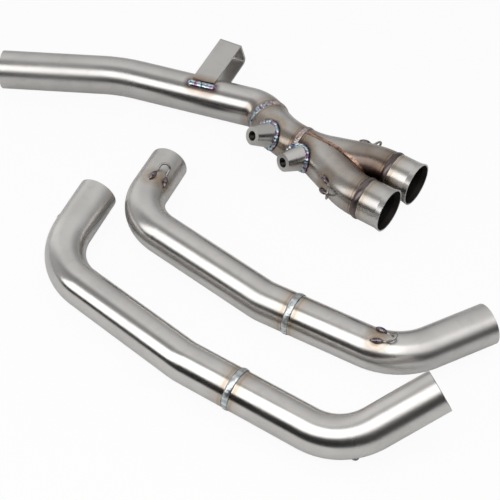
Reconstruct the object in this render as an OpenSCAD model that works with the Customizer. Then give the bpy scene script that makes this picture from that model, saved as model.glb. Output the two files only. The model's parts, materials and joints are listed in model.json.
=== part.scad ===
// Exhaust header of a motorcycle in three slip-fit pieces, laid apart on the ground:
// a collector with its link pipe, a short header pipe and a long header pipe.
// Millimetres, Z up. The ground is z = 0 and the origin is under the middle of the set.

/* [Tube sizes] */
// Outside diameter of both header pipes
header_od = 42; // [38:0.5:50.8]
// Outside diameter of the link pipe
link_od = 43.2; // [38:0.1:54]
// Outside diameter of the elbow and of both branches
branch_od = 44.6; // [40:0.1:54]
// Wall of every tube
wall = 1.5; // [1:0.1:2]

/* [Short header pipe] */
// Straight run at the engine end
short_head_run = 48.5; // [30:0.5:80]
// Radius of the bend after the engine end
short_head_bend = 50; // [45:0.5:90]
// Angle of the bend after the engine end
short_head_angle = 75; // [30:0.5:90]
// Turn of the bending plane before the middle run
short_first_turn = 28.5; // [-90:0.5:90]
// Straight middle run
short_mid_run = 126; // [60:0.5:200]
// Radius of the slight middle bend
short_mid_bend = 60; // [45:0.5:90]
// Angle of the slight middle bend
short_mid_angle = 9; // [2:0.5:30]
// Turn of the bending plane after the middle bend
short_second_turn = -23.5; // [-90:0.5:90]
// Straight run before the ring weld
short_ring_run = 29.5; // [10:0.5:80]
// Straight run after the ring weld
short_low_run = 77; // [40:0.5:120]
// Radius of the bend before the outlet
short_low_bend = 69; // [45:0.5:90]
// Angle of the bend before the outlet
short_low_angle = 55; // [30:0.5:90]
// Straight run at the outlet
short_out_run = 65; // [30:0.5:100]

/* [Long header pipe] */
// Straight run at the engine end
long_head_run = 53.5; // [30:0.5:80]
// Radius of the bend after the engine end
long_head_bend = 63; // [45:0.5:90]
// Angle of the bend after the engine end
long_head_angle = 73.5; // [30:0.5:90]
// Turn of the bending plane before the middle run
long_first_turn = -19.5; // [-90:0.5:90]
// Straight middle run
long_mid_run = 133.5; // [60:0.5:200]
// Radius of the slight middle bend
long_mid_bend = 60; // [45:0.5:90]
// Angle of the slight middle bend
long_mid_angle = 9.5; // [2:0.5:30]
// Turn of the bending plane after the middle bend
long_second_turn = 44; // [-90:0.5:90]
// Straight run before the ring weld
long_ring_run = 54; // [10:0.5:80]
// Straight run after the ring weld
long_low_run = 78; // [40:0.5:120]
// Radius of the bend before the outlet
long_low_bend = 66.5; // [45:0.5:90]
// Angle of the bend before the outlet
long_low_angle = 57.5; // [30:0.5:90]
// Straight run at the outlet
long_out_run = 67.5; // [30:0.5:100]

/* [Link pipe and elbow] */
// Radius of the elbow behind the branches
elbow_bend = 92.5; // [60:0.5:120]
// Angle of the elbow
elbow_angle = 33; // [15:0.5:60]
// Plane of the elbow, turned from level
elbow_turn = 177.5; // [150:0.5:230]
// Radius of the tight link bend
link_bend = 31; // [28:0.5:60]
// Angle of the tight link bend
link_angle = 51; // [20:0.5:90]
// Plane of the tight link bend, turned from the elbow plane
link_turn = 179.5; // [140:0.5:210]
// Straight run that carries the hanger bracket
link_mid_run = 133.5; // [80:0.5:200]
// Radius of the long slight bend
link_slight_bend = 199; // [100:1:300]
// Angle of the long slight bend
link_slight_angle = 12; // [4:0.5:30]
// Plane of the long slight bend, turned from the tight bend plane
link_slight_turn = -18.5; // [-60:0.5:60]
// Straight run at the slip end
link_slip_run = 115.5; // [60:0.5:200]

/* [Branches and sleeves] */
// Straight stub of a branch at the merge weld
branch_stub = 4; // [2:0.5:20]
// Radius of both bends of a branch
branch_bend = 65; // [50:0.5:90]
// Angle by which a branch leaves the middle line
branch_angle = 24; // [10:0.5:30]
// Straight run of a branch between its two bends
branch_run = 41.5; // [30:0.5:90]
// Straight end of a branch under its sleeve weld
branch_end = 3; // [2:0.5:10]
// Outside diameter of a sleeve
sleeve_od = 45.2; // [44:0.1:54]
// Inside diameter of a sleeve, a header pipe slides in
sleeve_id = 42.4; // [40:0.1:52]
// Length of the straight part of a sleeve
sleeve_run = 24; // [15:0.5:50]
// Length of the flared lip
lip_len = 6; // [3:0.5:12]
// Outside diameter at the end of the flared lip
lip_od = 47.6; // [46:0.1:56]

/* [Sensor bosses] */
// Diameter of a boss at its mouth
boss_mouth_od = 20; // [16:0.5:28]
// Diameter of a boss where it meets the tube
boss_foot_od = 27; // [20:0.5:34]
// Height of a boss over the tube
boss_height = 21.5; // [10:0.5:30]
// Bore of a boss, the crest diameter of its thread
boss_bore = 10.8; // [8:0.1:18]

/* [Hanger bracket] */
// Width of the folded strap
strap_w = 25.5; // [15:0.5:40]
// Thickness of the strap
strap_t = 2.5; // [1.5:0.1:5]
// Length of the upper leg, straight part
strap_top = 67.5; // [30:0.5:90]
// Length of the end plate, straight part
strap_end = 28; // [15:0.5:50]
// Length of the lower leg, straight part
strap_low = 62; // [20:0.5:80]
// Inside radius of both folds
strap_fold = 3; // [1:0.5:10]

/* [Welds and hooks] */
// Width of a ring weld
bead_w = 6; // [3:0.5:10]
// Height of a ring weld over the tube
bead_h = 0.9; // [0.4:0.1:2]
// Wire of the spring hooks
wire_d = 2.6; // [1.5:0.1:4]
// Centre line radius of a hook loop
hook_loop = 5.5; // [3:0.25:8]
// Distance between the two feet of a hook
hook_feet = 17.5; // [12:0.5:24]
// Length of a hook leg that lies on the tube
hook_flat = 14; // [8:0.5:20]
// Length of a hook leg that stands off the tube
hook_riser = 5; // [2:0.5:10]
// Angle at which the loop stands off the tube
hook_rise = 45; // [20:1:70]
// Length of a hook weld
hook_weld_len = 15; // [6:0.5:16]
// Height of a hook weld
hook_weld_h = 3; // [1.5:0.1:4]

/* [Places of bosses, hooks and bracket] */
// Place of the link boss along the elbow, as an angle
link_boss_along = 16.5; // [5:0.5:27]
// Direction of the link boss round the elbow
link_boss_round = -159.5; // [-180:0.5:180]
// Place of the merge boss along the first branch bend, as an angle
merge_boss_along = 11; // [3:0.5:18]
// Direction of the merge boss round the front branch
merge_boss_round = 7.5; // [-180:0.5:180]
// Place of a branch hook along the straight run
branch_hook_along = 31; // [15:0.5:45]
// Direction of the front branch hook round its branch, up from the outside
front_hook_round = 2.5; // [-60:0.5:60]
// Direction of the rear branch hook round its branch, up from the outside
rear_hook_round = 20; // [-60:0.5:60]
// Distance of a head hook from the engine end
head_hook_along = 48; // [30:0.5:60]
// Direction of a head hook round the tube
head_hook_round = 67; // [0:0.5:180]
// Place of an outlet hook along the outlet bend, as an angle
outlet_hook_along = 7; // [0:0.5:30]
// Direction of an outlet hook round the tube
outlet_hook_round = 82; // [0:0.5:180]
// Direction of the long pipe's head hook round the tube
long_head_hook_round = -160; // [-180:0.5:180]
// Place of the long pipe's outlet hook along its outlet bend, as an angle
long_outlet_hook_along = 22; // [0:0.5:40]
// Direction of the long pipe's outlet hook round the tube
long_outlet_hook_round = -120; // [-180:0.5:180]
// Place of the bracket weld along the link run
bracket_along = 56; // [30:0.5:100]
// Turn of the bracket's legs from square to the link run
bracket_turn = 7.5; // [-30:0.5:30]
// Direction that points up on the link run
link_up = 82.5; // [-180:0.5:180]

/* [Lie on the ground] */
// Place of the merge weld of the collector
collector_at = [78.333, 108.578, 26.65]; // [-400:0.001:400]
// Turn of the collector about X, Y and Z
collector_lay = [-10.871, -1.256, -36.467]; // [-180:0.001:180]
// Place of the engine end of the short pipe
short_at = [-65.432, 92.374, 20.888]; // [-400:0.001:400]
// Turn of the short pipe about X, Y and Z
short_lay = [84.064, 4.486, -23.498]; // [-180:0.001:180]
// Place of the engine end of the long pipe
long_at = [-138.902, 49.446, 23.196]; // [-400:0.001:400]
// Turn of the long pipe about X, Y and Z
long_lay = [91.722, -2.379, -25.442]; // [-180:0.001:180]

/* [Hidden] */
$fn = 96;
steel = [0.69, 0.68, 0.66];
tinted = [0.62, 0.55, 0.48];
bead_steel = [0.66, 0.7, 0.76];

header_r = header_od / 2;
link_r = link_od / 2;
branch_r = branch_od / 2;
sleeve_r = sleeve_od / 2;
sleeve_in = sleeve_id / 2;
lip_r = lip_od / 2;
wire_r = wire_d / 2;

// Straight tubes reach this far over the bends
lap = 0.3;
// A bent stretch is drawn in by this much
thin = 0.02;
// Every cutter passes its part by this much
past = 1;

// Circle of the arched crown of a ring weld
bead_r = (bead_w * bead_w / 4 + bead_h * bead_h) / (2 * bead_h);
// Circle of the pointed hook weld
hook_weld_r = (hook_weld_len * hook_weld_len / 4 + hook_weld_h * hook_weld_h) / (2 * hook_weld_h);
// Lean of a hook leg that lies on the tube
hook_lean = atan((hook_feet / 2 - hook_loop) / hook_flat);
hook_leg = hook_flat / cos(hook_lean);
// A hook weld reaches this far behind the foot
foot_cover = 2;
// The wire's middle line lies this far under the crest of the tube
hook_sit = 0.8;

// A head hook points aside from the tube by this much
head_hook_turn = 6;

// Straight stubs at the elbow and at the link pipe's first end
elbow_stub = 3;
elbow_end = 2;
link_stub = 2;

// Weld along the crotch of the branches
seam_w = 4.4;
seam_h = 0.8;
branch_reach = branch_stub + 2 * branch_bend + branch_run + branch_end + past;

// Fillet weld round a boss
boss_weld_w = 2.4;
boss_weld_h = 2.2;
// A boss runs this far below the crest of its tube before it is trimmed
boss_sink = 6;
// A boss leans back from square by this much
link_boss_lean = 2;
merge_boss_lean = -6.5;

// The underside of the strap lies this far below the crest of the link pipe
strap_sink = 1;
// End plate of the bracket, turned outward from plumb
end_plate_slant = 21;
// Weld along the foot of the bracket
bracket_weld_r = 5;
bracket_weld_len = 24;
// The weld lies this far below the crest of the link pipe
bracket_weld_sink = 2.8;
// Half angle of the weld behind the crest
bracket_weld_round = -12;

// Tube stretches, each starting at the origin and running up Z

module section(ro, ri) {
    difference() {
        circle(r = ro);
        if (ri > 0) circle(r = ri);
    }
}

module straight(len, ro, ri = 0, before = lap, after = lap) {
    translate([0, 0, -before]) linear_extrude(len + before + after) section(ro, ri);
}

// A bend toward +X
module bend(radius, angle, ro, ri = 0) {
    translate([radius, 0, 0]) rotate([90, 0, 180])
        rotate_extrude(angle = angle)
            translate([radius, 0]) section(ro - thin, ri > 0 ? ri + thin : 0);
}

module after(radius, angle) {
    translate([radius, 0, 0]) rotate([0, angle, 0]) translate([-radius, 0, 0]) children();
}

module along(len) {
    translate([0, 0, len]) children();
}

// An arched bead that sits on two tube ends meeting at z = 0
module ring_bead(r_below, r_above) {
    crown = max(r_below, r_above) + bead_h;
    rotate_extrude() difference() {
        translate([crown - bead_r, 0]) circle(r = bead_r);
        translate([-bead_r, -bead_r - past]) square([r_below + bead_r, bead_r + past]);
        translate([-bead_r, 0]) square([r_above + bead_r, bead_r + past]);
    }
}

// A spring hook: feet on the tube surface, +X off the tube, +Z the way the loop points
module hook_wire() {
    for (side = [-1, 1]) {
        translate([0, side * hook_feet / 2, 0]) rotate([side * hook_lean, 0, 0])
            cylinder(r = wire_r, h = hook_leg);
        translate([0, side * hook_loop, hook_flat]) {
            sphere(r = wire_r + thin);
            rotate([0, hook_rise, 0]) cylinder(r = wire_r, h = hook_riser + lap);
        }
    }
    translate([0, 0, hook_flat]) rotate([0, hook_rise, 0]) along(hook_riser)
        rotate([90, 0, 90]) rotate_extrude(angle = 180)
            translate([hook_loop, 0]) circle(r = wire_r - thin);
}

// A pointed weld over each foot of a hook
module hook_weld_pair() {
    for (side = [-1, 1])
        translate([0, side * hook_feet / 2, 0]) rotate([side * hook_lean, 0, 0])
            along(hook_weld_len / 2 - foot_cover) hook_weld_leaf();
}

module hook_weld_leaf() {
    rotate_extrude() intersection() {
        translate([hook_weld_h - hook_weld_r, 0]) circle(r = hook_weld_r);
        translate([0, -hook_weld_len]) square([hook_weld_h + past, 2 * hook_weld_len]);
    }
}

// Collector: origin at the merge weld, X toward the sleeves, Y left, Z up

module collector() {
    translate(collector_at) rotate(collector_lay) children();
}

module forward() {
    rotate([90, 0, 90]) children();
}

module backward() {
    rotate([90, 0, -90]) children();
}

module to_elbow() {
    collector() backward() along(elbow_stub) rotate([0, 0, elbow_turn]) children();
}

module to_link_weld() {
    to_elbow() after(elbow_bend, elbow_angle) along(elbow_end) children();
}

module to_link_bend() {
    to_link_weld() along(link_stub) rotate([0, 0, link_turn]) children();
}

module to_link_run() {
    to_link_bend() after(link_bend, link_angle) children();
}

module to_slight_bend() {
    to_link_run() along(link_mid_run) rotate([0, 0, link_slight_turn]) children();
}

module to_slip_run() {
    to_slight_bend() after(link_slight_bend, link_slight_angle) children();
}

module link_pipe() {
    color(steel) {
        to_link_weld() straight(link_stub, link_r, link_r - wall, 0, lap);
        to_link_bend() bend(link_bend, link_angle, link_r, link_r - wall);
        to_link_run() straight(link_mid_run, link_r, link_r - wall);
        to_slight_bend() bend(link_slight_bend, link_slight_angle, link_r, link_r - wall);
        to_slip_run() straight(link_slip_run, link_r, link_r - wall, lap, 0);
    }
}

module elbow_pipe() {
    color(steel) difference() {
        union() {
            collector() backward() straight(elbow_stub, branch_r, branch_r - wall, 0, lap);
            to_elbow() bend(elbow_bend, elbow_angle, branch_r, branch_r - wall);
            to_elbow() after(elbow_bend, elbow_angle)
                straight(elbow_end, branch_r, branch_r - wall, lap, 0);
        }
        to_link_boss() boss_drill();
    }
}

module link_ring_weld() {
    color(bead_steel) to_link_weld() ring_bead(branch_r, link_r);
}

module merge_ring_weld() {
    color(bead_steel) collector() backward() ring_bead(branch_r, branch_r);
}

// The rear branch; the front one is its mirror image
module to_branch_bend() {
    forward() along(branch_stub) children();
}

module to_branch_run() {
    to_branch_bend() after(branch_bend, branch_angle) children();
}

module to_branch_return() {
    to_branch_run() along(branch_run) rotate([0, 0, 180]) children();
}

module to_branch_end() {
    to_branch_return() after(branch_bend, branch_angle) children();
}

module to_sleeve() {
    to_branch_end() along(branch_end) children();
}

module branch_tube(ro, ri = 0) {
    forward() straight(branch_stub, ro, ri, 0, lap);
    to_branch_bend() bend(branch_bend, branch_angle, ro, ri);
    to_branch_run() straight(branch_run, ro, ri);
    to_branch_return() bend(branch_bend, branch_angle, ro, ri);
    to_branch_end() straight(branch_end, ro, ri, lap, 0);
}

// Everything on one side of the plane where the branches meet
module own_half(width) {
    translate([0, 0, -branch_od]) cube([branch_reach, width, 2 * branch_od]);
}

module branch_half() {
    intersection() {
        branch_tube(branch_r, branch_r - wall);
        own_half(2 * branch_od);
    }
}

module branch_rear() {
    color(steel) collector() branch_half();
}

module branch_front() {
    color(steel) collector() difference() {
        mirror([0, 1, 0]) branch_half();
        to_merge_boss() boss_drill();
    }
}

module seam_half() {
    difference() {
        intersection() {
            branch_tube(branch_r + seam_h);
            translate([bead_w / 2, 0, 0]) own_half(seam_w / 2);
        }
        branch_tube(branch_r);
    }
}

module seam_weld() {
    color(tinted) collector() {
        seam_half();
        mirror([0, 1, 0]) seam_half();
    }
}

module sleeve() {
    rotate_extrude() polygon([
        [sleeve_in, 0], [sleeve_r, 0],
        [sleeve_r, sleeve_run], [lip_r, sleeve_run + lip_len],
        [lip_r - wall, sleeve_run + lip_len], [sleeve_in, sleeve_run]
    ]);
}

module sleeve_rear() {
    color(steel) collector() to_sleeve() sleeve();
}

module sleeve_front() {
    color(steel) collector() mirror([0, 1, 0]) to_sleeve() sleeve();
}

module sleeve_weld_rear() {
    color(tinted) collector() to_sleeve() ring_bead(branch_r, sleeve_r);
}

module sleeve_weld_front() {
    color(tinted) collector() mirror([0, 1, 0]) to_sleeve() ring_bead(branch_r, sleeve_r);
}

// Sensor bosses: origin on the tube's middle line, +Z along the boss

module to_link_boss() {
    to_elbow() after(elbow_bend, link_boss_along)
        rotate([0, 0, link_boss_round]) rotate([0, 90 - link_boss_lean, 0]) children();
}

module to_merge_boss() {
    mirror([0, 1, 0]) to_branch_bend() after(branch_bend, merge_boss_along)
        rotate([0, 0, merge_boss_round]) rotate([0, 90 - merge_boss_lean, 0]) children();
}

module boss_drill() {
    cylinder(d = boss_bore, h = branch_r + boss_height + past);
}

// A cone that runs on into the tube, wider by the given amount
module boss_cone(extra = 0) {
    grow = (boss_foot_od - boss_mouth_od) / 2 / boss_height;
    foot_r = boss_foot_od / 2 + grow * boss_sink + extra;
    translate([0, 0, branch_r - boss_sink])
        cylinder(r1 = foot_r, r2 = boss_mouth_od / 2 + extra, h = boss_height + boss_sink);
}

module link_boss() {
    color(steel) difference() {
        to_link_boss() boss_cone();
        to_link_boss() boss_drill();
        to_elbow() bend(elbow_bend, elbow_angle, branch_r + thin);
    }
}

module merge_boss() {
    color(steel) collector() difference() {
        to_merge_boss() boss_cone();
        to_merge_boss() boss_drill();
        mirror([0, 1, 0]) branch_tube(branch_r + thin);
    }
}

module link_boss_weld() {
    color(bead_steel) difference() {
        intersection() {
            to_link_boss() boss_cone(boss_weld_w);
            to_elbow() bend(elbow_bend, elbow_angle, branch_r + boss_weld_h);
        }
        to_link_boss() boss_cone();
        to_elbow() bend(elbow_bend, elbow_angle, branch_r + thin);
        collector() backward() ring_bead(branch_r, branch_r);
    }
}

module merge_boss_weld() {
    color(bead_steel) collector() difference() {
        intersection() {
            to_merge_boss() boss_cone(boss_weld_w);
            mirror([0, 1, 0]) branch_tube(branch_r + boss_weld_h);
        }
        to_merge_boss() boss_cone();
        mirror([0, 1, 0]) branch_tube(branch_r + thin);
        backward() ring_bead(branch_r, branch_r);
    }
}

// Hanger bracket: origin on the crest of the link pipe, +Z along the upper leg, +X down

module to_bracket() {
    to_link_crest() translate([link_r - strap_sink, 0, 0])
        rotate([-bracket_turn, 0, 0]) rotate([90, 0, 180]) children();
}

module strap(len, before = lap, after = lap) {
    translate([-strap_t, -strap_w / 2, -before]) cube([strap_t, strap_w, len + before + after]);
}

// A fold toward +X, a hair narrower than the straight strap
module strap_bend(angle) {
    translate([strap_fold, 0, 0]) rotate([90, 0, 180]) rotate_extrude(angle = angle)
        translate([strap_fold + thin, -strap_w / 2 + thin])
            square([strap_t - 2 * thin, strap_w - 2 * thin]);
}

module after_fold(angle) {
    after(strap_fold, angle) children();
}

module folded_strap() {
    first_fold = 90 - end_plate_slant;
    strap(strap_top, 0, lap);
    along(strap_top) {
        strap_bend(first_fold);
        after_fold(first_fold) {
            strap(strap_end);
            along(strap_end) {
                strap_bend(180 - first_fold);
                after_fold(180 - first_fold) strap(strap_low, lap, 0);
            }
        }
    }
}

module hanger_bracket() {
    color(steel) difference() {
        to_bracket() folded_strap();
        to_link_run() straight(link_mid_run, link_r);
        to_link_crest() translate([0, -link_od, -bracket_weld_len])
            cube([link_od, link_od, 2 * bracket_weld_len]);
    }
}

// Crest of the link pipe beside the bracket: +X up, +Z along the pipe, -Y toward the sleeves' side
module to_link_crest() {
    to_link_run() along(bracket_along) rotate([0, 0, link_up]) children();
}

module bracket_weld() {
    color(bead_steel) difference() {
        to_link_crest() rotate([0, 0, bracket_weld_round])
            translate([link_r - bracket_weld_sink, 0, 0]) {
                translate([0, 0, -bracket_weld_len / 2])
                    cylinder(r = bracket_weld_r, h = bracket_weld_len);
                for (side = [-1, 1])
                    translate([0, 0, side * bracket_weld_len / 2]) sphere(r = bracket_weld_r + thin);
            }
        to_link_run() straight(link_mid_run, link_r);
        to_bracket() folded_strap();
    }
}

// Header pipes: origin at the engine end, the first run up Z

module head_shape(head_run, head_bend, head_angle, first_turn, mid_run,
                  mid_bend, mid_angle, second_turn, ring_run) {
    straight(head_run, header_r, header_r - wall, 0, lap);
    along(head_run) {
        bend(head_bend, head_angle, header_r, header_r - wall);
        after(head_bend, head_angle) rotate([0, 0, first_turn]) {
            straight(mid_run, header_r, header_r - wall);
            along(mid_run) {
                bend(mid_bend, mid_angle, header_r, header_r - wall);
                after(mid_bend, mid_angle) rotate([0, 0, second_turn])
                    straight(ring_run, header_r, header_r - wall, lap, 0);
            }
        }
    }
}

module outlet_shape(low_run, low_bend, low_angle, out_run) {
    straight(low_run, header_r, header_r - wall, 0, lap);
    along(low_run) {
        bend(low_bend, low_angle, header_r, header_r - wall);
        after(low_bend, low_angle) straight(out_run, header_r, header_r - wall, lap, 0);
    }
}

module to_ring(head_run, head_bend, head_angle, first_turn, mid_run,
               mid_bend, mid_angle, second_turn, ring_run) {
    along(head_run) after(head_bend, head_angle) rotate([0, 0, first_turn])
        along(mid_run) after(mid_bend, mid_angle) rotate([0, 0, second_turn])
            along(ring_run) children();
}

module short_pipe() {
    translate(short_at) rotate(short_lay) children();
}

module long_pipe() {
    translate(long_at) rotate(long_lay) children();
}

module to_short_ring() {
    short_pipe() to_ring(short_head_run, short_head_bend, short_head_angle, short_first_turn,
        short_mid_run, short_mid_bend, short_mid_angle, short_second_turn, short_ring_run) children();
}

module to_long_ring() {
    long_pipe() to_ring(long_head_run, long_head_bend, long_head_angle, long_first_turn,
        long_mid_run, long_mid_bend, long_mid_angle, long_second_turn, long_ring_run) children();
}

module short_head_tube() {
    color(steel) short_pipe() head_shape(short_head_run, short_head_bend, short_head_angle,
        short_first_turn, short_mid_run, short_mid_bend, short_mid_angle,
        short_second_turn, short_ring_run);
}

module short_outlet_tube() {
    color(steel) to_short_ring()
        outlet_shape(short_low_run, short_low_bend, short_low_angle, short_out_run);
}

module short_ring_weld() {
    color(bead_steel) to_short_ring() ring_bead(header_r, header_r);
}

module long_head_tube() {
    color(steel) long_pipe() head_shape(long_head_run, long_head_bend, long_head_angle,
        long_first_turn, long_mid_run, long_mid_bend, long_mid_angle,
        long_second_turn, long_ring_run);
}

module long_outlet_tube() {
    color(steel) to_long_ring()
        outlet_shape(long_low_run, long_low_bend, long_low_angle, long_out_run);
}

module long_ring_weld() {
    color(bead_steel) to_long_ring() ring_bead(header_r, header_r);
}

// Spring hooks and their welds, each trimmed by the tube it sits on

module to_head_hook(direction) {
    along(head_hook_along) rotate([0, 0, direction])
        translate([header_r - hook_sit, 0, 0]) rotate([180 + head_hook_turn, 0, 0]) children();
}

module to_outlet_hook(low_run, low_bend, place, direction) {
    along(low_run) after(low_bend, place) rotate([0, 0, direction])
        translate([header_r - hook_sit, 0, 0]) children();
}

module to_short_outlet_hook() {
    to_outlet_hook(short_low_run, short_low_bend, outlet_hook_along, outlet_hook_round) children();
}

module to_long_outlet_hook() {
    to_outlet_hook(long_low_run, long_low_bend, long_outlet_hook_along, long_outlet_hook_round)
        children();
}

module to_branch_hook(direction) {
    to_branch_run() along(branch_hook_along) rotate([0, 0, direction])
        translate([branch_r - hook_sit, 0, 0]) children();
}

module head_core(head_run, head_bend, head_angle) {
    straight(head_run, header_r);
    along(head_run) bend(head_bend, head_angle, header_r);
}

module low_core(low_run, low_bend, low_angle) {
    straight(low_run, header_r);
    along(low_run) bend(low_bend, low_angle, header_r);
}

module short_head_hook() {
    color(steel) short_pipe() difference() {
        to_head_hook(head_hook_round) hook_wire();
        head_core(short_head_run, short_head_bend, short_head_angle);
    }
}

module short_head_hook_welds() {
    color(tinted) short_pipe() difference() {
        to_head_hook(head_hook_round) hook_weld_pair();
        to_head_hook(head_hook_round) hook_wire();
        head_core(short_head_run, short_head_bend, short_head_angle);
    }
}

module short_outlet_hook() {
    color(steel) to_short_ring() difference() {
        to_short_outlet_hook() hook_wire();
        low_core(short_low_run, short_low_bend, short_low_angle);
    }
}

module short_outlet_hook_welds() {
    color(tinted) to_short_ring() difference() {
        to_short_outlet_hook() hook_weld_pair();
        to_short_outlet_hook() hook_wire();
        low_core(short_low_run, short_low_bend, short_low_angle);
    }
}

module long_head_hook() {
    color(steel) long_pipe() difference() {
        to_head_hook(long_head_hook_round) hook_wire();
        head_core(long_head_run, long_head_bend, long_head_angle);
    }
}

module long_head_hook_welds() {
    color(tinted) long_pipe() difference() {
        to_head_hook(long_head_hook_round) hook_weld_pair();
        to_head_hook(long_head_hook_round) hook_wire();
        head_core(long_head_run, long_head_bend, long_head_angle);
    }
}

module long_outlet_hook() {
    color(steel) to_long_ring() difference() {
        to_long_outlet_hook() hook_wire();
        low_core(long_low_run, long_low_bend, long_low_angle);
    }
}

module long_outlet_hook_welds() {
    color(tinted) to_long_ring() difference() {
        to_long_outlet_hook() hook_weld_pair();
        to_long_outlet_hook() hook_wire();
        low_core(long_low_run, long_low_bend, long_low_angle);
    }
}

module rear_branch_hook() {
    color(steel) collector() difference() {
        to_branch_hook(rear_hook_round) hook_wire();
        branch_tube(branch_r);
    }
}

module rear_branch_hook_welds() {
    color(tinted) collector() difference() {
        to_branch_hook(rear_hook_round) hook_weld_pair();
        to_branch_hook(rear_hook_round) hook_wire();
        branch_tube(branch_r);
    }
}

module front_branch_hook() {
    color(steel) collector() mirror([0, 1, 0]) difference() {
        to_branch_hook(front_hook_round) hook_wire();
        branch_tube(branch_r);
    }
}

module front_branch_hook_welds() {
    color(tinted) collector() mirror([0, 1, 0]) difference() {
        to_branch_hook(front_hook_round) hook_weld_pair();
        to_branch_hook(front_hook_round) hook_wire();
        branch_tube(branch_r);
    }
}

link_pipe();
link_ring_weld();
elbow_pipe();
merge_ring_weld();
branch_front();
branch_rear();
seam_weld();
sleeve_weld_front();
sleeve_weld_rear();
sleeve_front();
sleeve_rear();
link_boss();
link_boss_weld();
merge_boss();
merge_boss_weld();
hanger_bracket();
bracket_weld();
front_branch_hook();
front_branch_hook_welds();
rear_branch_hook();
rear_branch_hook_welds();
short_head_tube();
short_ring_weld();
short_outlet_tube();
short_head_hook();
short_head_hook_welds();
short_outlet_hook();
short_outlet_hook_welds();
long_head_tube();
long_ring_weld();
long_outlet_tube();
long_head_hook();
long_head_hook_welds();
long_outlet_hook();
long_outlet_hook_welds();
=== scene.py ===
import json
import math

import bmesh
import bpy
import numpy as np
from mathutils import Matrix, Vector
from mathutils.bvhtree import BVHTree


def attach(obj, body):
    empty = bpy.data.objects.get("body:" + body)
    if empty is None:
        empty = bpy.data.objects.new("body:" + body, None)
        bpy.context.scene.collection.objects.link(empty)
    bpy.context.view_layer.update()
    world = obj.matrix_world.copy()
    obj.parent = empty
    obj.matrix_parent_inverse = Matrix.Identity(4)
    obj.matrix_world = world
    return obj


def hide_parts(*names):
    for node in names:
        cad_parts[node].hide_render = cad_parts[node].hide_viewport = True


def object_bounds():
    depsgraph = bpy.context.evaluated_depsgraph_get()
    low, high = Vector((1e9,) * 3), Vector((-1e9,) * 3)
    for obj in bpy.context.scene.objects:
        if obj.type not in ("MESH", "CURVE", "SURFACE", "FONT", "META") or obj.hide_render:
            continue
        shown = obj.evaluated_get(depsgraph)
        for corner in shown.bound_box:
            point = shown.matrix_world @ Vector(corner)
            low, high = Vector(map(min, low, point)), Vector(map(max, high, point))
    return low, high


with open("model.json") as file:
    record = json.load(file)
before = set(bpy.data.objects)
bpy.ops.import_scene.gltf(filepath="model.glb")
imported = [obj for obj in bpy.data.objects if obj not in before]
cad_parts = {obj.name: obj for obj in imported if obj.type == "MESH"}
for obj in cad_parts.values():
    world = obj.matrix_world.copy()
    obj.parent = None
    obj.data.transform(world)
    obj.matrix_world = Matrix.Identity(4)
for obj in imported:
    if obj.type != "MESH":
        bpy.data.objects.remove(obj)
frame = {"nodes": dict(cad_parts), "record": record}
cad_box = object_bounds()
nodes = frame["nodes"]
mounts = {m["name"]: m for m in frame["record"]["mounts"]}

MM = 0.001

# Camera: the lens, where it looks and how it is rolled
LENS = 96.4
SENSOR = 36.0
LOOK_AT = Vector((0.020656, -0.011091, 0.0))
CAMERA_RISE = math.radians(51.8)
CAMERA_ROLL = math.radians(-0.77)
CAMERA_DISTANCE = 1.394

HOOKS = (
    "short_head_hook",
    "short_outlet_hook",
    "long_head_hook",
    "long_outlet_hook",
    "front_branch_hook",
    "rear_branch_hook",
)


# Shader maths


class Wire:
    """A socket that takes part in sums, so that a pattern reads as an expression."""

    def __init__(self, maker, socket):
        self.maker = maker
        self.socket = socket

    def math(self, operation, *others):
        """This value and the others through one Math node."""
        return self.maker.node("ShaderNodeMath", {"operation": operation}, [self, *others])

    def __add__(self, other):
        return self.math("ADD", other)

    def __sub__(self, other):
        return self.math("SUBTRACT", other)

    def __mul__(self, other):
        return self.math("MULTIPLY", other)

    def __truediv__(self, other):
        return self.math("DIVIDE", other)

    __radd__ = __add__
    __rmul__ = __mul__

    def __rsub__(self, other):
        return self.maker.node("ShaderNodeMath", {"operation": "SUBTRACT"}, [other, self])

    def size(self):
        return self.math("ABSOLUTE")

    def past_whole(self):
        """What is left over after the last whole number."""
        return self.math("FRACT")

    def whole(self):
        return self.math("FLOOR")


class Pattern:
    """A node tree, of a material or of the room, and the ways to build in it."""

    def __init__(self, tree):
        self.tree = tree

    def node(self, kind, settings, inputs, output=0):
        """Any node: its settings first, then the values or links of its sockets."""
        made = self.tree.nodes.new(kind)
        for setting, value in settings.items():
            if setting == "stops":
                set_stops(made.color_ramp, value)
            else:
                setattr(made, setting, value)
        pairs = enumerate(inputs) if isinstance(inputs, list) else inputs.items()
        for key, value in pairs:
            self.feed(made.inputs[key], value)
        return Wire(self, made.outputs[output])

    def feed(self, socket, value):
        if isinstance(value, Wire):
            self.tree.links.new(value.socket, socket)
        else:
            socket.default_value = value

    def blend(self, factor, first, second, way="MIX"):
        """Two colours, one over the other."""
        settings = {"data_type": "RGBA", "blend_type": way}
        return self.node("ShaderNodeMix", settings, {0: factor, 6: first, 7: second}, 2)

    def ramp(self, value, stops):
        return self.node("ShaderNodeValToRGB", {"stops": stops}, {"Fac": value}, "Color")

    def steps(self, value, low, high):
        """0 below low, 1 above high, and a soft rise between."""
        settings = {"interpolation_type": "SMOOTHSTEP"}
        inputs = {"Value": value, "From Min": low, "From Max": high}
        return self.node("ShaderNodeMapRange", settings, inputs, "Result")

    def vector(self, operation, first, second=None, output="Vector"):
        inputs = [first] if second is None else [first, second]
        return self.node("ShaderNodeVectorMath", {"operation": operation}, inputs, output)


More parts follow.
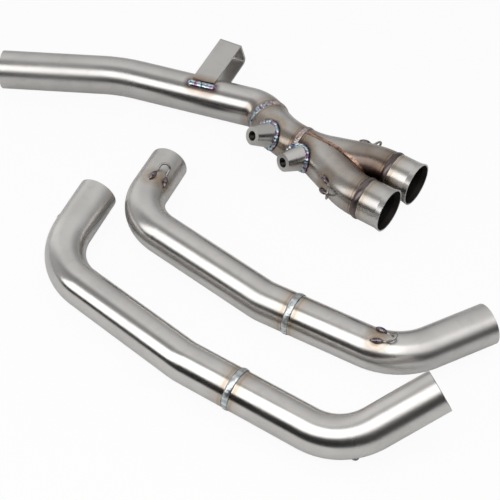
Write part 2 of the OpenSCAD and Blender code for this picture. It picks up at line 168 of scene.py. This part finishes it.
class Finish(Pattern):
    """A material, with patterns that lie in the object's own coordinates."""

    def __init__(self, name, roughness, metallic=1.0):
        self.material = bpy.data.materials.new(name)
        self.material.use_nodes = True
        super().__init__(self.material.node_tree)
        self.shader = self.tree.nodes["Principled BSDF"]
        self.set("Roughness", roughness)
        self.set("Metallic", metallic)
        self.place = self.node("ShaderNodeTexCoord", {}, {}, "Object")

    def set(self, name, value):
        self.feed(self.shader.inputs[name], value)

    def noise(self, scale, detail=3.0, distortion=0.0):
        """Clouds; the scale is in repeats a metre."""
        inputs = {"Vector": self.place, "Scale": scale, "Detail": detail, "Distortion": distortion}
        return self.node("ShaderNodeTexNoise", {}, inputs, "Fac")

    def wander(self, scale, reach, detail=2.0):
        """What makes an edge uneven: up to half of the reach either way."""
        return self.noise(scale, detail) * reach - reach / 2

    def from_point(self, point):
        """The way from a point to the surface."""
        return self.vector("SUBTRACT", self.place, tuple(point))

    def along(self, point, axis):
        """Distance along an axis from a point, in metres."""
        return self.vector("DOT_PRODUCT", self.from_point(point), tuple(axis), "Value")

    def distance(self, point):
        return self.vector("LENGTH", self.from_point(point), None, "Value")

    def close_to(self, point, near, far):
        """1 nearer to a point than near, and 0 beyond far."""
        return 1.0 - self.steps(self.distance(point), near, far)

    def aside(self, point, axis):
        """Distance from an axis."""
        square = self.vector("CROSS_PRODUCT", self.from_point(point), tuple(axis))
        return self.vector("LENGTH", square, None, "Value")

    def away_from_axis(self, there, axis):
        """The part of a way that is square to an axis."""
        axis = tuple(axis)
        along = self.vector("DOT_PRODUCT", there, axis, "Value")
        inputs = {"Vector": axis, "Scale": along}
        shadow = self.node("ShaderNodeVectorMath", {"operation": "SCALE"}, inputs, "Vector")
        return self.vector("SUBTRACT", there, shadow)

    def bump(self, height, strength, depth):
        inputs = {"Strength": strength, "Distance": depth, "Height": height}
        self.set("Normal", self.node("ShaderNodeBump", {}, inputs, "Normal"))


def set_stops(ramp, stops):
    """A colour ramp's stops, each a place and a colour."""
    while len(ramp.elements) < len(stops):
        ramp.elements.new(1.0)
    for element, (place, rgb) in zip(ramp.elements, stops):
        element.position = place
        element.color = (*rgb, 1.0)


# Where the welds are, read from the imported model


def points_of(name):
    return np.array([v.co for v in nodes[name].data.vertices], float)


def directions(points):
    """The directions in which points spread, the widest first."""
    return np.linalg.svd(points - points.mean(0), full_matrices=False)[2]


def by_axis(points, middle, axis):
    """How far points lie along an axis, and how far out from it."""
    there = points - middle
    reach = there @ axis
    return reach, np.linalg.norm(there - np.outer(reach, axis), axis=1)


class Ring:
    """A ring weld's middle, axis, radii and width."""

    def __init__(self, name):
        points = points_of(name)
        centre = points.mean(0)
        self.axis = directions(points)[2]
        reach = (points - centre) @ self.axis
        self.middle = centre + self.axis * (reach.max() + reach.min()) / 2
        reach, out = by_axis(points, self.middle, self.axis)
        self.half_width = reach.max()
        self.outer = out.max()
        self.inner = out.min()


RINGS = {
    name: Ring(name)
    for name in nodes
    if name.endswith("ring_weld") or name.startswith("sleeve_weld")
}


def leaf_spots(name):
    """The middle of each of the two welds of a hook."""
    points = points_of(name)
    side = (points - points.mean(0)) @ directions(points)[0]
    return [points[side < 0].mean(0), points[side > 0].mean(0)]


LEAVES = {hook: leaf_spots(hook + "_welds") for hook in HOOKS}


def bracket_foot():
    """The middle and the direction of the bracket's weld."""
    points = points_of("bracket_weld")
    return points.mean(0), directions(points)[0]


def crotch():
    """Where the two branches part: the seam weld's far end."""
    points = points_of("seam_weld")
    away = np.linalg.norm(points - RINGS["merge_ring_weld"].middle, axis=1)
    return points[away > away.max() - 2 * MM].mean(0)


# Pieces


# Every bead carries a map of its ripples: one unit of U is one ripple, and V is 0 at
# its middle line and 1 or -1 at its toes
RIPPLE_MAP = "ripples"
# How far a ripple's middle runs ahead of its ends, in ripples
RIPPLE_BOW = 0.45
# Below 1, a ripple is steeper at its front
RIPPLE_LEAN = 0.6
STEPS_A_RIPPLE = 8
BEAD_ROWS = 14
MERGE_DISTANCE = 0.002 * MM
# The waves that make a hand-laid bead uneven: turns, shift and share
WOBBLE = ((3, 1, 0.5), (7, 2, 0.3), (12, 5, 0.2))


def bent_grid(name, steps, rows, place, ripples=1):
    """A grid bent into a closed bead: u runs along it and v round it, both from 0 to 1."""
    made = bmesh.new()
    bmesh.ops.create_grid(made, x_segments=steps, y_segments=rows, size=0.5)
    layer = made.loops.layers.uv.new(RIPPLE_MAP)
    for face in made.faces:
        for loop in face.loops:
            across = math.cos(math.tau * (loop.vert.co.y + 0.5))
            along = (loop.vert.co.x + 0.5) * ripples
            loop[layer].uv = (along + RIPPLE_BOW * across * across, across)
    for vert in made.verts:
        vert.co = place(vert.co.x + 0.5, vert.co.y + 0.5)
    bmesh.ops.remove_doubles(made, verts=made.verts, dist=MERGE_DISTANCE)
    bmesh.ops.recalc_face_normals(made, faces=made.faces)
    for face in made.faces:
        face.smooth = True
    mesh = bpy.data.meshes.new(name)
    made.to_mesh(mesh)
    made.free()
    piece = bpy.data.objects.new(name, mesh)
    bpy.context.scene.collection.objects.link(piece)
    return piece


def ripple(along, across):
    """Height of a bead's ripple, from 0 to 1."""
    phase = (along + RIPPLE_BOW * across * across) % 1.0
    return math.sin(math.pi * phase ** RIPPLE_LEAN)


def wobble(turn, seed):
    """A hand-laid bead is never quite even: from -1 to 1 round a turn."""
    return sum(share * math.sin(turns * turn + shift * seed) for turns, shift, share in WOBBLE)


def square_to(axis):
    """Two directions square to an axis and to each other."""
    first = axis.orthogonal().normalized()
    return first, axis.cross(first)


def in_place_of(node, ripples, place):
    """A rippled bead that takes a CAD weld's place."""
    piece = bent_grid(node + "_bead", ripples * STEPS_A_RIPPLE, BEAD_ROWS, place, ripples)
    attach(piece, "root")
    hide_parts(node)
    return piece


# A ring bead's foot in the tube, how uneven its crown is, and how far it strays sideways
RING_ROOT = 0.4 * MM
RING_UNEVEN = 0.10
RING_STRAY = 0.22 * MM


def ring_bead(node, ripples, seed, depth=0.30, spread=1.2):
    """A weld right round a tube.

    The depth is the ripples' share of its height, and the spread its share of the CAD
    weld's width.
    """
    ring = RINGS[node]
    axis = Vector(ring.axis)
    middle = Vector(ring.middle)
    first, second = square_to(axis)
    height = ring.outer - ring.inner

    def place(u, v):
        turn = math.tau * u
        across = math.cos(math.tau * v)
        rise = math.sin(math.tau * v)
        out = first * math.cos(turn) + second * math.sin(turn)
        uneven = wobble(turn, seed)
        if rise > 0:
            crown = 1 - depth + depth * ripple(u * ripples, across)
            lift = height * rise * crown * (1 + RING_UNEVEN * uneven)
        else:
            lift = RING_ROOT * rise
        aside = across * ring.half_width * spread + RING_STRAY * wobble(turn, seed + 1)
        spot = middle + out * (ring.inner + min(lift, height)) + axis * aside
        spot.z = max(spot.z, cad_box[0][2])
        return spot

    return in_place_of(node, ripples, place)


def skin_of(*names):
    """The outer skin of some CAD nodes, for rays to land on."""
    points = []
    faces = []
    for name in names:
        mesh = nodes[name].data
        start = len(points)
        points += [v.co.copy() for v in mesh.vertices]
        faces += [[start + i for i in face.vertices] for face in mesh.polygons]
    return BVHTree.FromPolygons(points, faces)


BOSS_BEAD_GIRTH = 3.0 * MM
# Where the bead's middle line lies between the inner and outer edge of the CAD weld
BOSS_BEAD_LINE = 0.3
BOSS_RIPPLE_DEPTH = 0.20
BOSS_UNEVEN = 0.12
# Rays start this far above the boss's middle
RAY_START = 30 * MM


def boss_bead(node, sensor, carriers, ripples, seed):
    """The fillet weld round a sensor boss, laid on the tube under it."""
    mount = mounts[sensor]
    axis = Vector(mount["axis"]).normalized()
    middle = Vector(mount["pos_m"])
    first, second = square_to(axis)
    out = by_axis(points_of(node), np.array(middle), np.array(axis))[1]
    radius = out.min() + BOSS_BEAD_LINE * (out.max() - out.min())
    skin = skin_of(*carriers)
    start = middle + axis * RAY_START

    def place(u, v):
        turn = math.tau * u
        around = math.tau * v
        away = first * math.cos(turn) + second * math.sin(turn)
        foot = skin.ray_cast(start + away * radius, -axis)[0]
        crown = 1 - BOSS_RIPPLE_DEPTH + BOSS_RIPPLE_DEPTH * ripple(u * ripples, math.cos(around))
        girth = BOSS_BEAD_GIRTH * crown * (1 + BOSS_UNEVEN * wobble(turn, seed))
        return foot + (away * math.cos(around) + axis * math.sin(around)) * girth

    return in_place_of(node, ripples, place)


THREAD_PITCH = 1.25 * MM
THREAD_DEPTH = 0.35 * MM
THREAD_TURNS = 14
# The first turn's depth below the boss's mouth
THREAD_START = 1.4 * MM
# Half of the ridge's width, as a share of the pitch
THREAD_SHARE = 0.42
# At each end the ridge fades out over one part in this many of its length
THREAD_FADE = 12
THREAD_STEPS = 28
THREAD_ROWS = 4


def boss_thread(name, sensor):
    """The thread's ridge, wound inside a sensor boss."""
    mount = mounts[sensor]
    axis = Vector(mount["axis"]).normalized()
    first, second = square_to(axis)
    half_length = mount["dims"]["length_mm"] / 2 * MM
    top = Vector(mount["pos_m"]) + axis * (half_length - THREAD_START)
    wall = mount["dims"]["r_mm"] * MM

    def place(u, v):
        turn = math.tau * u * THREAD_TURNS
        out = first * math.cos(turn) + second * math.sin(turn)
        around = math.tau * v
        fade = min(1.0, THREAD_FADE * u, THREAD_FADE * (1 - u))
        depth = THREAD_DEPTH * fade * math.cos(around)
        side = THREAD_SHARE * THREAD_PITCH * fade * math.sin(around)
        return top + out * (wall - depth) - axis * (u * THREAD_TURNS * THREAD_PITCH + side)

    piece = bent_grid(name, THREAD_TURNS * THREAD_STEPS, THREAD_ROWS, place)
    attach(piece, "root")
    return piece


# Finishes

STEEL = (0.66, 0.642, 0.622)
WORN_STEEL = (0.60, 0.582, 0.562)
BOSS_STEEL = (0.66, 0.64, 0.615)
# Near-black painted shade for the thread inside a boss's bore
THREAD_PAINTED_SHADE = (0.15, 0.145, 0.14)
WIRE_STEEL = (0.40, 0.385, 0.37)
# Near-black painted shade for the inner wall near a mouth
INSIDE_PAINTED_SHADE = (0.045, 0.042, 0.040)
BLACK = (0.0, 0.0, 0.0)
WHITE = (1.0, 1.0, 1.0)

# Heat tints. Each list of stops runs from its start outward over its reach.
RING_REACH = 20 * MM
HEADER_BANDS = [
    (0.00, (0.12, 0.11, 0.12)),
    (0.165, (0.16, 0.14, 0.15)),
    (0.19, (0.80, 0.74, 0.66)),
    (0.24, (0.95, 0.90, 0.82)),
    (0.27, (0.58, 0.46, 0.37)),
    (0.30, (0.94, 0.88, 0.78)),
    (0.35, (0.72, 0.60, 0.49)),
    (0.40, (0.93, 0.87, 0.79)),
    (0.60, (0.95, 0.92, 0.88)),
    (1.0, WHITE),
]
COLLECTOR_BANDS = [
    (0.00, (0.12, 0.10, 0.11)),
    (0.165, (0.18, 0.14, 0.15)),
    (0.20, (0.62, 0.52, 0.46)),
    (0.25, (0.78, 0.66, 0.56)),
    (0.30, (0.42, 0.35, 0.35)),
    (0.35, (0.76, 0.68, 0.60)),
    (0.50, (0.76, 0.71, 0.66)),
    (0.75, (0.90, 0.88, 0.86)),
    (1.0, WHITE),
]

# Beside a sensor boss, from the foot of its cone
SENSOR_START = 10.5 * MM
SENSOR_REACH = 18 * MM
SENSOR_BANDS = [
    (0.0, (0.14, 0.11, 0.14)),
    (0.14, (0.26, 0.19, 0.22)),
    (0.25, (0.66, 0.48, 0.38)),
    (0.34, (0.46, 0.38, 0.36)),
    (0.45, (0.78, 0.68, 0.57)),
    (0.7, (0.88, 0.84, 0.79)),
    (1.0, WHITE),
]

# Round each weld of a spring hook
HOOK_START = -1.5 * MM
HOOK_REACH = 18 * MM
HOOK_BANDS = [
    (0.0, (0.14, 0.11, 0.11)),
    (0.22, (0.22, 0.17, 0.16)),
    (0.33, (0.62, 0.49, 0.41)),
    (0.48, (0.88, 0.80, 0.71)),
    (0.62, (0.82, 0.76, 0.70)),
    (1.0, WHITE),
]

# Beside the weld at the bracket's foot
FOOT_REACH = 16 * MM
FOOT_BANDS = [
    (0.0, (0.14, 0.11, 0.12)),
    (0.26, (0.20, 0.15, 0.15)),
    (0.34, (0.58, 0.45, 0.38)),
    (0.55, (0.80, 0.70, 0.62)),
    (1.0, WHITE),
]

# The burnt brown between the branches, from where they part
CROTCH_REACH = 60 * MM
CROTCH_BANDS = [
    (0.0, (0.16, 0.12, 0.10)),
    (0.22, (0.24, 0.18, 0.155)),
    (0.42, (0.50, 0.42, 0.37)),
    (0.70, (0.86, 0.82, 0.78)),
    (1.0, WHITE),
]

# A mouth's inner wall is painted near-black, as painted shade, this far from its middle
INSIDE_SHADE_NEAR = 85 * MM
INSIDE_SHADE_FAR = 100 * MM
INSIDE_SHADE_ROUGHNESS = 0.35
# Outside, a tube is duller this far from its mouth
WEAR_NEAR = 20 * MM
WEAR_FAR = 120 * MM


def colour(rgb):
    return (*rgb, 1.0)


def grey(level):
    return (level, level, level)


def darker(rgb, share):
    return tuple(part * share for part in rgb)


def tinted(made, base, away, reach, bands, near=1.0):
    """Multiplies a colour by heat bands, by the distance from a weld."""
    heat = made.ramp(away / reach, bands)
    return made.blend(near, base, made.blend(1.0, base, heat, "MULTIPLY"))


def ring_tint(made, base, ring, bands):
    """Straw, brown and grey bands on both sides of a ring weld."""
    weld = RINGS[ring]
    away = made.along(weld.middle, weld.axis).size() + made.wander(150.0, 2.2 * MM)
    near = made.close_to(weld.middle, weld.outer * 1.25, weld.outer * 1.5)
    return tinted(made, base, away, RING_REACH, bands, near)


def hook_tint(made, base, hook):
    for spot in LEAVES[hook]:
        away = made.distance(spot) + made.wander(220.0, 3 * MM) - HOOK_START
        base = tinted(made, base, away, HOOK_REACH, HOOK_BANDS)
    return base


def sensor_tint(made, base, sensor):
    mount = mounts[sensor]
    away = made.aside(mount["pos_m"], mount["axis"]) + made.wander(190.0, 4 * MM) - SENSOR_START
    near = made.close_to(mount["pos_m"], 28 * MM, 36 * MM)
    return tinted(made, base, away, SENSOR_REACH, SENSOR_BANDS, near)


def foot_tint(made, base):
    middle, axis = bracket_foot()
    away = made.aside(middle, axis) + made.wander(190.0, 3 * MM)
    near = made.close_to(middle, 14 * MM, 23 * MM)
    return tinted(made, base, away, FOOT_REACH, FOOT_BANDS, near)


def crotch_tint(made, base):
    away = made.distance(crotch()) + made.wander(60.0, 16 * MM, 3.0)
    return tinted(made, base, away, CROTCH_REACH, CROTCH_BANDS)


def inside(made, mount):
    """Where a mouth's inner wall is painted dark as shade: 1 on the inner wall of a tube near its
    mouth, and 0 elsewhere.
    """
    facing = made.node("ShaderNodeNewGeometry", {}, {}, "True Normal")
    outward = made.away_from_axis(made.from_point(mount["pos_m"]), mount["axis"])
    inward = 0.0 - made.vector("DOT_PRODUCT", facing, outward, "Value")
    return made.steps(inward, 2 * MM, 6 * MM) * made.close_to(mount["pos_m"], INSIDE_SHADE_NEAR, INSIDE_SHADE_FAR)


def steel(name, rings=(), hooks=(), sensors=(), mouths=(), foot=False, burnt=False,
          roughness=0.2, tone=STEEL, bands=HEADER_BANDS, mottle=0.5, worn=0.0):
    """Satin stainless steel, tinted beside its welds, with painted shade on the inner wall near
    its mouths.

    The mottle is the strength of its clouds and smears, and worn is the roughness that is
    added at a mouth.
    """
    made = Finish(name, roughness)
    clouds = made.noise(24.0, 5.0)
    smears = made.noise(85.0, 4.0, 0.8)
    fine = made.noise(900.0, 2.0)
    clouded = made.steps(clouds, 0.38, 0.66) * mottle
    smeared = made.steps(smears, 0.50, 0.72) * mottle * 0.6
    base = made.blend(clouded, colour(tone), colour(darker(tone, 0.84)))
    base = made.blend(smeared, base, colour(darker(tone, 0.80)))
    for ring in rings:
        base = ring_tint(made, base, ring, bands)
    for hook in hooks:
        base = hook_tint(made, base, hook)
    for sensor in sensors:
        base = sensor_tint(made, base, sensor)
    if foot:
        base = foot_tint(made, base)
    if burnt:
        base = crotch_tint(made, base)
    rough = roughness + (clouds - 0.5) * 0.10 + (fine - 0.5) * 0.03
    for mouth in mouths:
        # Painted shade: the inner wall near each mouth is blended to near-black and made rougher
        painted_shade = inside(made, mounts[mouth])
        base = made.blend(painted_shade, base, colour(INSIDE_PAINTED_SHADE))
        rough = rough + painted_shade * INSIDE_SHADE_ROUGHNESS
        if worn:
            rough = rough + made.close_to(mounts[mouth]["pos_m"], WEAR_NEAR, WEAR_FAR) * worn
    made.set("Base Color", base)
    made.set("Roughness", rough)
    made.bump(fine, 0.03, 0.1 * MM)
    return made


def bead_finish(name, palette, roughness=0.16, toe=0.90, gap=0.42, side_palette=None, side=None):
    """A rippled bead: every ripple takes its own heat colour.

    It is dark beyond the toe, and the gap is how dark the line between two ripples is. A
    second palette takes over on one side of a point, along an axis.
    """
    made = Finish(name, roughness)
    run = made.node("ShaderNodeUVMap", {"uv_map": RIPPLE_MAP}, {}, "UV")
    along = made.node("ShaderNodeSeparateXYZ", {}, [run], "X")
    across = Wire(made, along.socket.node.outputs["Y"]).size()
    line_noise = {"noise_dimensions": "1D"}
    own = made.node("ShaderNodeTexWhiteNoise", line_noise, {"W": along.whole()}, "Value")
    shade = made.noise(260.0, 3.0, 0.8) * 0.75 + own * 0.25
    base = made.ramp(shade, palette)
    if side_palette:
        point, axis = side
        over = made.steps(made.along(point, axis), -12 * MM, 10 * MM)
        base = made.blend(over, base, made.ramp(shade, side_palette))
    line = [(0.0, grey(gap)), (0.16, WHITE), (0.84, WHITE), (1.0, grey(gap))]
    edge = [(0.0, WHITE), (toe - 0.10, WHITE), (toe, grey(0.22)), (1.0, grey(0.14))]
    base = made.blend(1.0, base, made.ramp(along.past_whole(), line), "MULTIPLY")
    base = made.blend(1.0, base, made.ramp(across, edge), "MULTIPLY")
    made.set("Base Color", base)
    made.set("Roughness", roughness + made.noise(700.0, 2.0) * 0.12)
    return made


def plain_bead(name, palette, roughness, scale=260.0):
    """A bead whose heat colours lie in patches."""
    made = Finish(name, roughness)
    made.set("Base Color", made.ramp(made.noise(scale, 3.0, 0.8), palette))
    made.set("Roughness", roughness + made.noise(900.0, 2.0) * 0.14)
    made.bump(made.noise(scale * 2.2, 2.0), 0.5, 0.4 * MM)
    return made


def dress(piece, finish):
    piece.data.materials.clear()
    piece.data.materials.append(finish.material)


def give(finish, *names):
    for name in names:
        dress(nodes[name], finish)


# Heat colours of the beads
PALE_BEAD = [
    (0.28, (0.28, 0.30, 0.32)),
    (0.40, (0.52, 0.56, 0.57)),
    (0.50, (0.84, 0.85, 0.83)),
    (0.58, (0.56, 0.62, 0.64)),
    (0.70, (0.38, 0.40, 0.43)),
]
COPPER_BEAD = [
    (0.28, (0.20, 0.16, 0.18)),
    (0.40, (0.50, 0.36, 0.30)),
    (0.50, (0.76, 0.62, 0.54)),
    (0.58, (0.44, 0.40, 0.46)),
    (0.70, (0.30, 0.24, 0.26)),
]
IRIDESCENT = [
    (0.28, (0.05, 0.05, 0.09)),
    (0.38, (0.14, 0.22, 0.36)),
    (0.46, (0.74, 0.82, 0.85)),
    (0.53, (0.44, 0.62, 0.64)),
    (0.60, (0.40, 0.18, 0.34)),
    (0.70, (0.08, 0.08, 0.16)),
]
SEAM_BEAD = [
    (0.30, (0.11, 0.08, 0.08)),
    (0.44, (0.32, 0.20, 0.15)),
    (0.54, (0.56, 0.38, 0.28)),
    (0.66, (0.20, 0.14, 0.13)),
]
DARK_LEAF = [
    (0.30, (0.03, 0.025, 0.03)),
    (0.44, (0.13, 0.10, 0.10)),
    (0.54, (0.34, 0.30, 0.31)),
    (0.66, (0.07, 0.06, 0.09)),
]
DARK_BAND = [
    (0.30, (0.10, 0.082, 0.08)),
    (0.46, (0.15, 0.125, 0.12)),
    (0.56, (0.19, 0.16, 0.155)),
    (0.70, (0.12, 0.105, 0.11)),
]


def dress_cad_nodes():
    give(steel("short_pipe_steel", ["short_ring_weld"], ["short_head_hook", "short_outlet_hook"],
               mouths=["short_engine_end", "short_outlet"], roughness=0.23, worn=0.14),
         "short_head_tube", "short_outlet_tube")
    give(steel("long_pipe_steel", ["long_ring_weld"], ["long_head_hook", "long_outlet_hook"],
               mouths=["long_engine_end", "long_outlet"], roughness=0.19, worn=0.12),
         "long_head_tube", "long_outlet_tube")
    give(steel("link_pipe_steel", ["link_ring_weld"], mouths=["slip_end"], foot=True,
               roughness=0.25, bands=COLLECTOR_BANDS, worn=0.10),
         "link_pipe")

    collector = {"roughness": 0.27, "tone": WORN_STEEL, "bands": COLLECTOR_BANDS, "mottle": 0.7}
    give(steel("elbow_steel", ["link_ring_weld", "merge_ring_weld"],
               sensors=["link_sensor", "merge_sensor"], **collector),
         "elbow_pipe")
    give(steel("front_branch_steel", ["merge_ring_weld", "sleeve_weld_front"],
               ["front_branch_hook"], ["merge_sensor"], burnt=True, **collector),
         "branch_front")
    give(steel("rear_branch_steel", ["merge_ring_weld", "sleeve_weld_rear"],
               ["rear_branch_hook"], burnt=True, **collector),
         "branch_rear")

    sleeve = {"roughness": 0.27, "mottle": 0.8}
    give(steel("front_sleeve_steel", ["sleeve_weld_front"], mouths=["front_sleeve"], **sleeve),
         "sleeve_front")
    give(steel("rear_sleeve_steel", ["sleeve_weld_rear"], mouths=["rear_sleeve"], **sleeve),
         "sleeve_rear")

    boss = {"roughness": 0.26, "tone": BOSS_STEEL, "mottle": 0.3}
    give(steel("link_boss_steel", mouths=["link_sensor"], **boss), "link_boss")
    give(steel("merge_boss_steel", mouths=["merge_sensor"], **boss), "merge_boss")
    give(steel("bracket_steel", foot=True, roughness=0.34, tone=WORN_STEEL), "hanger_bracket")
    give(steel("hook_wire_steel", roughness=0.26, tone=WIRE_STEEL), *HOOKS)

    give(plain_bead("seam_bead", SEAM_BEAD, 0.26), "seam_weld")
    give(plain_bead("sleeve_band", DARK_BAND, 0.24, 60.0), "sleeve_weld_front", "sleeve_weld_rear")
    give(plain_bead("bracket_bead", IRIDESCENT, 0.14, 150.0), "bracket_weld")
    give(plain_bead("hook_bead", DARK_LEAF, 0.22), *[hook + "_welds" for hook in HOOKS])


def lay_beads():
    header = bead_finish("header_ring_bead", PALE_BEAD, 0.26, gap=0.72)
    dress(ring_bead("short_ring_weld", 40, 1.0, depth=0.12), header)
    dress(ring_bead("long_ring_weld", 40, 2.3, depth=0.12), header)

    side = (RINGS["link_ring_weld"].middle, (1.0, 0.0, 0.0))
    dress(ring_bead("link_ring_weld", 62, 4.1, spread=1.25),
          bead_finish("link_ring_bead", IRIDESCENT, side_palette=COPPER_BEAD, side=side))
    dress(ring_bead("merge_ring_weld", 62, 5.2, spread=1.15),
          bead_finish("merge_ring_bead", COPPER_BEAD))

    boss = bead_finish("boss_bead", IRIDESCENT, gap=0.6)
    dress(boss_bead("link_boss_weld", "link_sensor", ["elbow_pipe"], 24, 0.7), boss)
    dress(boss_bead("merge_boss_weld", "merge_sensor", ["elbow_pipe", "branch_front"], 24, 3.1),
          boss)

    # The thread is painted near-black as shade inside the bore
    thread = steel("thread_painted_shade", roughness=0.22, tone=THREAD_PAINTED_SHADE, mottle=0.2)
    dress(boss_thread("link_boss_thread", "link_sensor"), thread)
    dress(boss_thread("merge_boss_thread", "merge_sensor"), thread)


# Stage: floor, studio light and camera

FLOOR_SIZE = 7.0
FLOOR_WHITE = 0.8
# How much of what the camera sees of the floor is plain white
WHITE_SHARE = 0.94


def floor():
    mesh = bpy.data.meshes.new("studio_floor")
    made = bmesh.new()
    bmesh.ops.create_grid(made, x_segments=1, y_segments=1, size=FLOOR_SIZE / 2)
    made.to_mesh(mesh)
    made.free()
    plate = bpy.data.objects.new("studio_floor", mesh)
    bpy.context.scene.collection.objects.link(plate)

    finish = Finish("floor_white", 0.9, 0.0)
    finish.set("Base Color", colour(grey(FLOOR_WHITE)))
    lit = Wire(finish, finish.shader.outputs[0])
    glow = {"Color": colour(WHITE), "Strength": 1.0}
    white = finish.node("ShaderNodeEmission", {}, glow, "Emission")
    seen = finish.node("ShaderNodeLightPath", {}, {}, "Is Camera Ray")
    mixed = finish.node("ShaderNodeMixShader", {}, [seen * WHITE_SHARE, lit, white])
    finish.feed(finish.tree.nodes["Material Output"].inputs["Surface"], mixed)
    mesh.materials.append(finish.material)


# The soft box hangs flat over the front and left of the set, and its right end is dimmer
BOX_HEIGHT = 1.1
BOX_LEFT = -4.2
BOX_SPLIT = 0.35
BOX_RIGHT = 1.3
BOX_FRONT = -1.12
BOX_BACK = -0.10
BOX_RADIANCE = 1.9
BOX_DIM_RADIANCE = 1.15


def soft_box(name, left, right, radiance):
    lamp = bpy.data.lights.new(name, "AREA")
    lamp.shape = "RECTANGLE"
    lamp.size = right - left
    lamp.size_y = BOX_BACK - BOX_FRONT
    lamp.energy = radiance * math.pi * lamp.size * lamp.size_y
    box = bpy.data.objects.new(name, lamp)
    box.location = ((left + right) / 2, (BOX_FRONT + BOX_BACK) / 2, BOX_HEIGHT)
    box.visible_camera = False
    bpy.context.scene.collection.objects.link(box)


# The room, from the front to the back: white for the camera alone
ROOM = [
    (0.0, grey(0.03)),
    (0.43, grey(0.03)),
    (0.47, grey(0.78)),
    (0.75, grey(0.80)),
    (0.85, grey(0.74)),
    (0.93, grey(0.66)),
    (0.99, grey(0.52)),
    (1.0, grey(0.45)),
]
# Just behind the soft box the ceiling is darker, and that gap runs slantwise
GAP_SLANT = 0.5
GAP_START = -0.02
GAP_END = 0.32
GAP_SHARE = 0.66
# The back right of the room is dimmer and the back left paler
DIM_CORNER = (0.85, 0.50, 0.0)
DIM_CORNER_SHARE = 0.55
PALE_CORNER = (-0.80, 0.58, 0.15)
PALE_CORNER_GLOW = 0.20


def room():
    world = bpy.data.worlds.new("studio_room")
    bpy.context.scene.world = world
    world.use_nodes = True
    made = Pattern(world.node_tree)
    way = made.node("ShaderNodeTexCoord", {}, {}, "Generated")
    depth = made.node("ShaderNodeSeparateXYZ", {}, [way], "Y")
    across = Wire(made, depth.socket.node.outputs["X"])
    shown = made.ramp(depth * 0.5 + 0.5, ROOM)
    gap = 1.0 - made.steps(depth + across * GAP_SLANT, GAP_START, GAP_END)
    shown = made.blend(gap * GAP_SHARE, shown, colour(BLACK))
    pale = made.steps(made.vector("DOT_PRODUCT", way, PALE_CORNER, "Value"), 0.70, 0.98)
    shown = made.blend(pale * PALE_CORNER_GLOW, shown, colour(WHITE), "ADD")
    dim = made.steps(made.vector("DOT_PRODUCT", way, DIM_CORNER, "Value"), 0.55, 0.95)
    shown = made.blend(dim * DIM_CORNER_SHARE, shown, colour(BLACK))
    seen = made.node("ShaderNodeLightPath", {}, {}, "Is Camera Ray")
    shown = made.blend(seen, shown, colour(WHITE))
    backdrop = world.node_tree.nodes["Background"]
    made.feed(backdrop.inputs["Color"], shown)
    made.feed(backdrop.inputs["Strength"], 1.0)


def camera():
    lens = bpy.data.cameras.new("camera")
    lens.lens = LENS
    lens.sensor_width = SENSOR
    eye = bpy.data.objects.new("camera", lens)
    bpy.context.scene.collection.objects.link(eye)
    forward = Vector((0.0, math.cos(CAMERA_RISE), -math.sin(CAMERA_RISE)))
    across = Vector((1.0, 0.0, 0.0))
    up = across.cross(forward)
    right = across * math.cos(CAMERA_ROLL) + up * math.sin(CAMERA_ROLL)
    top = right.cross(forward)
    turn = Matrix((right, top, -forward)).transposed().to_4x4()
    eye.matrix_world = Matrix.Translation(LOOK_AT - forward * CAMERA_DISTANCE) @ turn
    bpy.context.scene.camera = eye


camera()
floor()
soft_box("soft_box_left", BOX_LEFT, BOX_SPLIT, BOX_RADIANCE)
soft_box("soft_box_right", BOX_SPLIT, BOX_RIGHT, BOX_DIM_RADIANCE)
room()
dress_cad_nodes()
lay_beads()

bpy.context.scene.view_settings.view_transform = "Standard"
